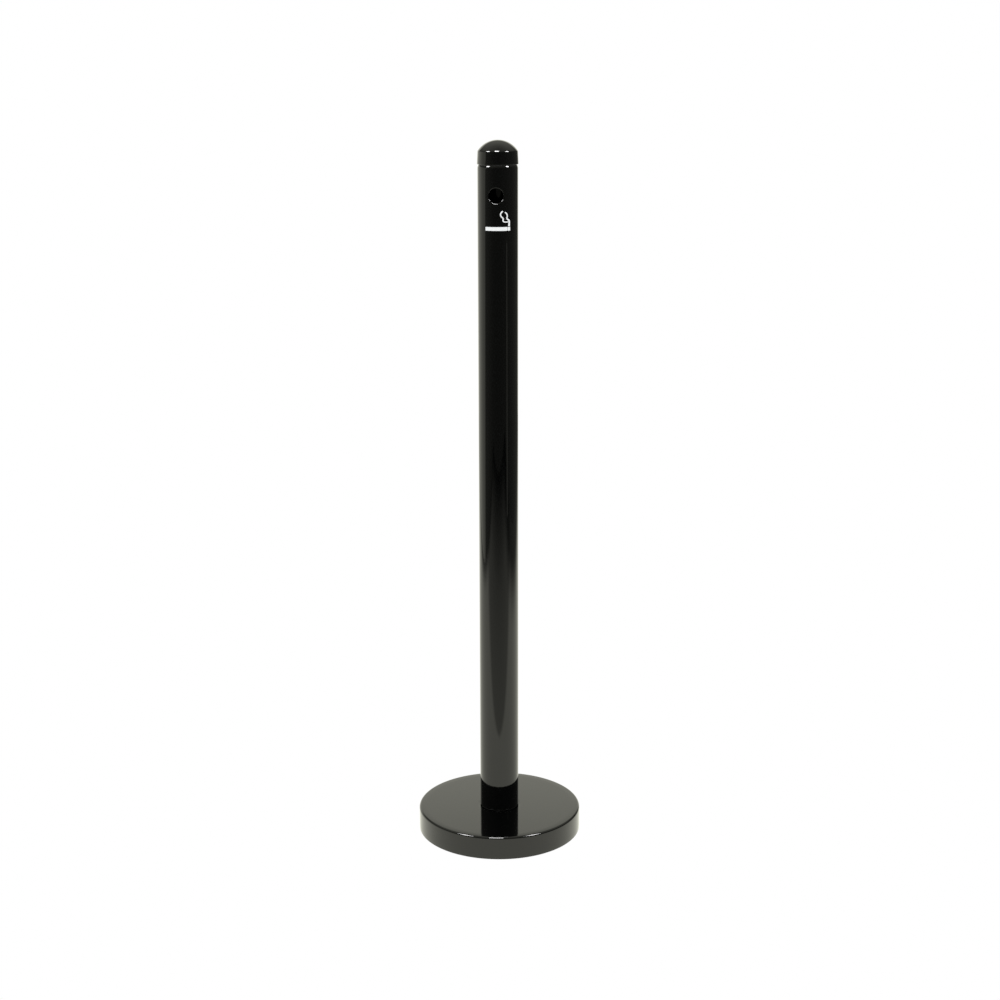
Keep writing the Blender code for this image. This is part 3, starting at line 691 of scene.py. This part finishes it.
def make_pictogram(film):
    """White film in the symbol's four shapes, each for one CAD plate."""
    stroke, thin, flare, stem = 1.8 * MM, 1.4 * MM, 2.4 * MM, 3.2 * MM
    corner = 0.3 * MM
    left_trim, right_trim, gap_trim = 1.0 * MM, 0.6 * MM, -0.1 * MM
    top_trim, bottom_trim = 0.85 * MM, 0.25 * MM
    right, left = smoke_curls()
    shapes = {
        "pictogram_cigarette": bar_pairs(cigarette_low, cigarette_high, 24, corner,
                                         (left_trim, gap_trim, top_trim, bottom_trim)),
        "pictogram_ember": bar_pairs(ember_low, ember_high, 6, corner,
                                     (gap_trim, right_trim, top_trim, bottom_trim)),
        "pictogram_smoke_right": ribbon_pairs(right, (stroke, stroke, flare, stem), 20),
        "pictogram_smoke_left": ribbon_pairs(left, (stroke, stroke, stroke, thin), 20),
    }
    for node, pairs in shapes.items():
        make_piece(node + "_film", film_plate(pairs), "pole", film, [node])


# ---------------------------------------------------------------- pieces seen when it is apart

CANISTER_WALL = 1.0 * MM
BAIL_WIRE = 1.25 * MM
BAIL_HOLE = 1.7 * MM
BAIL_PIVOT_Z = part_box("bail")[1].z - BAIL_WIRE


def make_turn_ring(nylon, rubber):
    """Sleeve with two grooves and the round rubber rings in them."""
    low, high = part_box("guide_sleeve")
    inner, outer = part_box("spigot_tube")[1].x + GAP, high.x
    bore_chamfer, foot_chamfer, lead = 0.5 * MM, 0.4 * MM, 1.2 * MM
    ring_middle, ring_radius = 27.2 * MM, 1.0 * MM
    groove, groove_mouth = ring_radius + GAP, 52
    ring_heights = {}
    for node in ("grip_ring_lower", "grip_ring_upper"):
        ring_low, ring_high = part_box(node)
        ring_heights[node] = (ring_low.z + ring_high.z) / 2
    profile = [(inner, low.z + bore_chamfer), (inner + bore_chamfer, low.z), (outer - foot_chamfer, low.z),
               (outer, low.z + foot_chamfer)]
    for z in ring_heights.values():
        profile += arc((ring_middle, z), groove, -groove_mouth, groove_mouth - 360, 14)
    profile += [*arc((outer - lead, high.z - lead), lead, 0, 90, 6),
                (inner + bore_chamfer, high.z), (inner, high.z - bore_chamfer)]
    make_piece("sleeve_turned", lathe(profile), "turn_ring", nylon, ["guide_sleeve"])
    for node, z in ring_heights.items():
        loop = arc((ring_middle, z), ring_radius, 0, 360, 20)[:-1]
        make_piece(node + "_round", lathe(loop), "turn_ring", rubber, [node])


def make_spigot_tube(zinc):
    """Tube with a groove for the circlip and a rounded top edge."""
    low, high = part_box("spigot_tube")
    clip_low, clip_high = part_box("spigot_circlip")
    wall, groove_depth, rounding = 1.5 * MM, 0.6 * MM, 0.7 * MM
    outer = high.x
    inner, groove = outer - wall, outer - groove_depth
    profile = [(inner, low.z), (outer, low.z), (outer, clip_low.z - GAP), (groove, clip_low.z - GAP),
               (groove, clip_high.z + GAP), (outer, clip_high.z + GAP),
               *arc((outer - rounding, high.z - rounding), rounding, 0, 90, 6), (inner, high.z)]
    make_piece("spigot_turned", lathe(profile), "base", zinc, ["spigot_tube"])


def make_canister_tube(zinc):
    """Sheet steel tube with two rolled beads."""
    low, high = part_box("canister_tube")
    inner, outer = high.x - CANISTER_WALL, high.x
    foot_chamfer = 0.3 * MM
    bead, bead_depth, bead_reach = 1.3 * MM, 0.9 * MM, 44
    beads = []
    low_bead_height, high_bead_drop = 20 * MM, 45 * MM
    for z in (low.z + low_bead_height, high.z - high_bead_drop):
        beads += arc((outer - bead_depth, z), bead, -bead_reach, bead_reach, 8)
    profile = [(inner, low.z), (outer - foot_chamfer, low.z), (outer, low.z + foot_chamfer), *beads,
               (outer, high.z), (inner, high.z)]
    make_piece("canister_body", lathe(profile), "canister", zinc, ["canister_tube"])


def make_canister_rim(nylon):
    """Moulded collar on the tube's top, with a flared lip, a funnel mouth and the bail's two holes."""
    tube_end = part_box("canister_tube")[1]
    low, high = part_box("canister_rim")
    outer, top = high.x, high.z
    neck, neck_chamfer = 25.6 * MM, 0.6 * MM
    lip_width, lip_rounding = 1.0 * MM, 0.5 * MM
    flare_drop, funnel_depth, bore_step = 4 * MM, 6 * MM, 0.2 * MM
    collar, step_z = tube_end.x + GAP, tube_end.z + GAP
    bore = tube_end.x - CANISTER_WALL + bore_step
    profile = [(collar, low.z), (neck - neck_chamfer, low.z), (neck, low.z + neck_chamfer),
               (neck, top - funnel_depth), (outer, top - flare_drop),
               *arc((outer - lip_rounding, top - lip_rounding), lip_rounding, 0, 90, 5),
               (outer - lip_width, top), (bore, top - funnel_depth), (bore, step_z), (collar, step_z)]
    rim = make_piece("rim_moulded", lathe(profile), "canister", nylon, ["canister_rim"])
    right_through = 70 * MM
    across = Matrix.Translation((0.0, 0.0, BAIL_PIVOT_Z)) @ Matrix.Rotation(pi / 2, 4, "Y")
    combine(rim, rod(BAIL_HOLE, right_through, across), "DIFFERENCE")


def make_bail(wire):
    """Wire handle: a half-round bow with a pin bent out at each end."""
    pin_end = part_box("bail")[1].x
    bend, bow = 3 * MM, 15.5 * MM
    half = [(pin_end, 0.0), *arc((bow + bend, -bend), bend, 90, 180, 10),
            *arc((0.0, -bend), bow, 0, -90, 24)[1:]]
    line = half + [(-x, z) for x, z in reversed(half[:-1])]
    points = [Vector((x, 0.0, BAIL_PIVOT_Z + z)) for x, z in line]
    make_piece("bail_wire", tube_along(points, BAIL_WIRE), "bail", wire, ["bail"])


def make_cap_plug(nylon):
    """Ring that pushes into the tube, with the bar across it that the cap's screw goes through."""
    low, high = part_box("cap_plug")
    wall, lead, edge = 2.3 * MM, 1.2 * MM, 0.4 * MM
    inner, outer = high.x - wall, high.x
    profile = [(inner, low.z + edge), (inner + edge, low.z),
               *arc((outer - lead, low.z + lead), lead, -90, 0, 8),
               *arc((outer - edge, high.z - edge), edge, 0, 90, 4),
               *arc((inner + edge, high.z - edge), edge, 90, 180, 4)]
    plug = make_piece("plug_moulded", lathe(profile), "cap", nylon, ["cap_plug"])
    bar_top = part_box("cap_nut")[0].z - GAP
    width, thickness, corner = 12 * MM, 4 * MM, 0.6 * MM
    screw_hole = 3.4 * MM
    middle = Matrix.Translation((0.0, 0.0, bar_top - thickness / 2))
    bar = bmesh.new()
    bmesh.ops.create_cube(bar, size=1.0,
                          matrix=middle @ Matrix.Diagonal((inner + outer, width, thickness, 1.0)))
    long_edges = [e for e in bar.edges if abs((e.verts[0].co - e.verts[1].co).x) > inner]
    bmesh.ops.bevel(bar, geom=long_edges, offset=corner, segments=4, profile=0.5, affect="EDGES")
    combine(plug, bar, "UNION")
    combine(plug, rod(screw_hole, 4 * thickness, middle), "DIFFERENCE")


def repaint(materials):
    """Better materials for the CAD nodes that stay as they are."""
    for node, material in materials.items():
        for slot in frame["nodes"][node].material_slots:
            slot.material = material


# ---------------------------------------------------------------- stage, light and camera

class Glow(Nodes):
    """Material that only shines, with its strength worked out by nodes."""

    def __init__(self, name, color):
        super().__init__(name)
        self.tree.nodes.remove(self.shader)
        self.glow = self.tree.nodes.new("ShaderNodeEmission")
        self.glow.inputs["Color"].default_value = (*color, 1.0)
        self.link(self.glow.outputs[0], self.tree.nodes["Material Output"].inputs["Surface"])

    def axis(self, index):
        node = self.tree.nodes.new("ShaderNodeSeparateXYZ")
        self.link(self.place, node.inputs[0])
        return node.outputs[index]

    def strength(self, value):
        feed(self.tree, self.glow.inputs["Strength"], value)
        return self.material


def add_stage_plane(name, corners, material):
    """Flat stage piece over four corners (right, away, up), as seen from the camera's side."""
    bm = bmesh.new()
    bm.faces.new([bm.verts.new(corner) for corner in corners])
    mesh = bpy.data.meshes.new(name)
    bm.to_mesh(mesh)
    bm.free()
    mesh.materials.append(material)
    plane = bpy.data.objects.new(name, mesh)
    plane.rotation_euler = (0.0, 0.0, CAMERA_AZIMUTH)
    bpy.context.scene.collection.objects.link(plane)
    return plane


def only_in_reflections(plane):
    """Leaves a stage piece visible to glossy rays alone."""
    plane.visible_camera = False
    plane.visible_diffuse = False
    plane.visible_shadow = False
    plane.visible_transmission = False


def make_floor():
    """Pale floor: it lights the object from below, and the camera sees it as plain white."""
    n = Nodes("pale_floor")
    color = n.ramp(n.noise(3.0, 3.0), [(0.3, 0.86), (0.8, 0.88)])
    rough = n.ramp(n.noise(40.0, 2.0), [(0.3, 0.85), (0.8, 0.95)])
    material = n.set(color, rough, specular=0.1)
    path = n.tree.nodes.new("ShaderNodeLightPath")
    glow = n.tree.nodes.new("ShaderNodeEmission")
    blend = n.tree.nodes.new("ShaderNodeMixShader")
    n.link(path.outputs["Is Camera Ray"], blend.inputs[0])
    n.link(n.shader.outputs[0], blend.inputs[1])
    n.link(glow.outputs[0], blend.inputs[2])
    n.link(blend.outputs[0], n.tree.nodes["Material Output"].inputs["Surface"])
    size = 30.0
    corners = [(-size, -size, 0.0), (size, -size, 0.0), (size, size, 0.0), (-size, size, 0.0)]
    floor = add_stage_plane("floor", corners, material)
    floor.visible_glossy = False


def make_paper_glow():
    """The floor as the gloss sees it: a white paper whose light falls off towards the camera."""
    n = Glow("paper_glow", REFLECTED_TINT)
    right, away = n.axis(0), n.axis(1)
    toward = n.math("MULTIPLY", away, -1.0)
    outward = n.math("ABSOLUTE", right)
    front = n.ramp(n.math("DIVIDE", toward, PAPER_REACH),
                   [(0.0, 1.0), (0.20, 0.52), (0.36, 0.44), (0.52, 0.35), (0.64, 0.22), (0.76, 0.13),
                    (0.92, 0.03), (1.0, 0.0)])
    edge = n.math("ADD", 0.43, n.math("MULTIPLY", outward, 0.10))
    softness = n.math("ADD", 0.015, n.math("MULTIPLY", outward, 0.22))
    beyond = n.math("DIVIDE", n.math("SUBTRACT", toward, edge), softness)
    shade = smooth_step(n.tree, beyond, -0.5, 1.0, 0.0, 1.0)
    lit = n.math("MULTIPLY", n.math("SUBTRACT", 1.0, shade), PAPER_LEVEL)
    dim = n.math("MULTIPLY", n.math("MULTIPLY", shade, front), PAPER_LEVEL)
    level = n.math("ADD", lit, dim)
    right_edge = smooth_step(n.tree, right, 0.95, 1.60, 1.0, 0.15)
    left_edge = smooth_step(n.tree, right, -1.60, -1.25, 0.15, 1.0)
    material = n.strength(n.math("MULTIPLY", n.math("MULTIPLY", level, right_edge), left_edge))
    left_end, right_end, back_end = -1.55, 1.9, 3.0
    corners = [(left_end, -PAPER_REACH, 0.0), (right_end, -PAPER_REACH, 0.0),
               (right_end, back_end, 0.0), (left_end, back_end, 0.0)]
    only_in_reflections(add_stage_plane("paper_glow", corners, material))


def make_stand_glow():
    """Dim upright strip to the right of the camera, which shows as a thin line down the tube."""
    level, azimuth, distance, half_width, height = 0.42, radians(51.0), 2.0, 0.09, 0.73
    material = Glow("stand_glow", REFLECTED_TINT).strength(level)
    middle = Vector((sin(azimuth), -cos(azimuth), 0.0)) * distance
    side = Vector((cos(azimuth), sin(azimuth), 0.0)) * half_width
    up = Vector((0.0, 0.0, height))
    corners = [middle - side, middle + side, middle + side + up, middle - side + up]
    only_in_reflections(add_stage_plane("stand_glow", corners, material))


def make_light(name, azimuth, elevation, distance, size, power):
    """Rectangular light that shows only in gloss; azimuth grows from the camera's side to the right."""
    data = bpy.data.lights.new(name, "AREA")
    data.shape = "RECTANGLE"
    data.size, data.size_y = size
    data.energy = power
    light = bpy.data.objects.new(name, data)
    turn = CAMERA_AZIMUTH + radians(azimuth)
    lift = radians(elevation)
    target = Vector((0.0, 0.0, LIGHT_TARGET_Z))
    away = Vector((sin(turn) * cos(lift), -cos(turn) * cos(lift), sin(lift)))
    light.location = target + away * distance
    light.rotation_mode = "QUATERNION"
    light.rotation_quaternion = away.to_track_quat("Z", "Y")
    light.visible_camera = False
    light.visible_diffuse = False
    bpy.context.scene.collection.objects.link(light)


def make_world():
    """Soft white all round; in reflections a white backdrop, a panel on the left and a pale ceiling."""
    world = bpy.data.worlds.new("studio")
    bpy.context.scene.world = world
    world.use_nodes = True
    tree = world.node_tree
    tree.nodes.clear()
    coordinates = tree.nodes.new("ShaderNodeTexCoord")

    def chain(operation, values):
        result = values[0]
        for value in values[1:]:
            result = math_node(tree, operation, result, value)
        return result

    def product(*values):
        return chain("MULTIPLY", values)

    def total(*values):
        return chain("ADD", values)

    def towards(direction):
        node = tree.nodes.new("ShaderNodeVectorMath")
        node.operation = "DOT_PRODUCT"
        tree.links.new(coordinates.outputs["Generated"], node.inputs[0])
        node.inputs[1].default_value = direction
        return node.outputs["Value"]

    right = towards(Vector((cos(CAMERA_AZIMUTH), sin(CAMERA_AZIMUTH), 0.0)))
    back = towards(Vector((-sin(CAMERA_AZIMUTH), cos(CAMERA_AZIMUTH), 0.0)))
    height = towards(Vector((0.0, 0.0, 1.0)))
    turn = math_node(tree, "ARCTAN2", right, back)
    slanted = total(turn, product(height, radians(46.7)))

    def over_angle(value, low, high, to_low, to_high):
        """Eases while an angle goes from low to high degrees."""
        return smooth_step(tree, value, radians(low), radians(high), to_low, to_high)

    def over_elevation(low, high, to_low, to_high):
        """Eases while the direction rises from low to high degrees."""
        return smooth_step(tree, height, sin(radians(low)), sin(radians(high)), to_low, to_high)

    backdrop = product(over_angle(turn, 24, 32, 1.14, 0.0), over_angle(turn, -40, -32, 0.0, 1.0),
                       over_elevation(19, 35, 1.0, 0.0))
    panel = product(over_angle(slanted, -108.5, -106, 0.0, 1.0), over_angle(turn, -40, -32, 1.0, 0.0),
                    over_angle(turn, -98, -55, 0.55, 0.93), over_elevation(8, 20, 1.0, 0.0))
    ceiling = product(over_elevation(15, 70, 0.0, 0.59), smooth_step(tree, back, -0.35, 0.40, 0.62, 1.0))
    beside = product(over_angle(slanted, -165, -108, 0.0, 0.065), over_angle(turn, -90, -60, 1.0, 0.0))
    aside = over_angle(math_node(tree, "ABSOLUTE", turn), 60, 180, 0.07, 0.0)
    seen_in_gloss = total(backdrop, panel, ceiling, beside, aside, STUDIO_DARK)

    path = tree.nodes.new("ShaderNodeLightPath")
    gloss, camera = path.outputs["Is Glossy Ray"], path.outputs["Is Camera Ray"]
    not_gloss = math_node(tree, "SUBTRACT", 1.0, gloss)
    not_camera = math_node(tree, "SUBTRACT", 1.0, camera)
    plain = total(camera, product(not_camera, STUDIO_SOFT))
    strength = total(product(gloss, seen_in_gloss), product(not_gloss, plain))
    background = tree.nodes.new("ShaderNodeBackground")
    tree.links.new(mix_colors(tree, gloss, WHITE, REFLECTED_TINT), background.inputs["Color"])
    tree.links.new(strength, background.inputs["Strength"])
    output = tree.nodes.new("ShaderNodeOutputWorld")
    tree.links.new(background.outputs[0], output.inputs["Surface"])


def make_camera():
    """Camera that stands back from the pole's front, a little to its right."""
    data = bpy.data.cameras.new("camera")
    data.sensor_width = 36.0
    data.lens = CAMERA_LENS
    data.shift_x, data.shift_y = CAMERA_SHIFT
    data.clip_start, data.clip_end = 0.05, 100.0
    camera = bpy.data.objects.new("camera", data)
    camera.location = (CAMERA_DISTANCE * sin(CAMERA_AZIMUTH), -CAMERA_DISTANCE * cos(CAMERA_AZIMUTH),
                       CAMERA_HEIGHT)
    turn = Matrix.Rotation(CAMERA_AZIMUTH, 4, "Z")
    tilt = Matrix.Rotation(pi / 2 - CAMERA_PITCH, 4, "X")
    roll = Matrix.Rotation(CAMERA_ROLL, 4, "Z")
    camera.rotation_euler = (turn @ tilt @ roll).to_euler()
    bpy.context.scene.collection.objects.link(camera)
    bpy.context.scene.camera = camera


def make_studio():
    """Everything round the object that gives it light and something to reflect."""
    bpy.context.scene.view_settings.view_transform = "Standard"
    make_floor()
    make_paper_glow()
    make_stand_glow()
    make_world()
    make_light("light_left", azimuth=-66, elevation=40, distance=2.3, size=(0.58, 0.95), power=74.0)
    make_light("light_center", azimuth=-7.5, elevation=58, distance=2.6, size=(0.80, 0.90), power=95.0)
    make_light("light_right", azimuth=64.5, elevation=40, distance=2.3, size=(0.54, 0.95), power=70.0)


# ---------------------------------------------------------------- build

coat = black_powder_coat()
zinc = zinc_plate()
rubber = black_rubber()
nylon_black = black_nylon()
screw_steel = bright_screw_steel()

make_base_cover(coat)
make_pole_tube(coat)
make_cap(coat)
make_foot_ring(rubber)
make_pictogram(white_film())
make_turn_ring(natural_nylon(), rubber)
make_spigot_tube(zinc)
make_canister_tube(galvanised())
make_canister_rim(nylon_black)
make_bail(drawn_wire())
make_cap_plug(nylon_black)

screws = [node for node in frame["nodes"] if "_screw" in node]
repaint({
    "base_plate": zinc,
    "spigot_flange": zinc,
    "base_weight": cast_iron(),
    "floor_ring": rubber,
    "canister_pad": rubber,
    "spigot_circlip": spring_steel(),
    "canister_bottom": galvanised(),
    "cap_nut": screw_steel,
    **{node: screw_steel for node in screws},
})

make_camera()
make_studio()
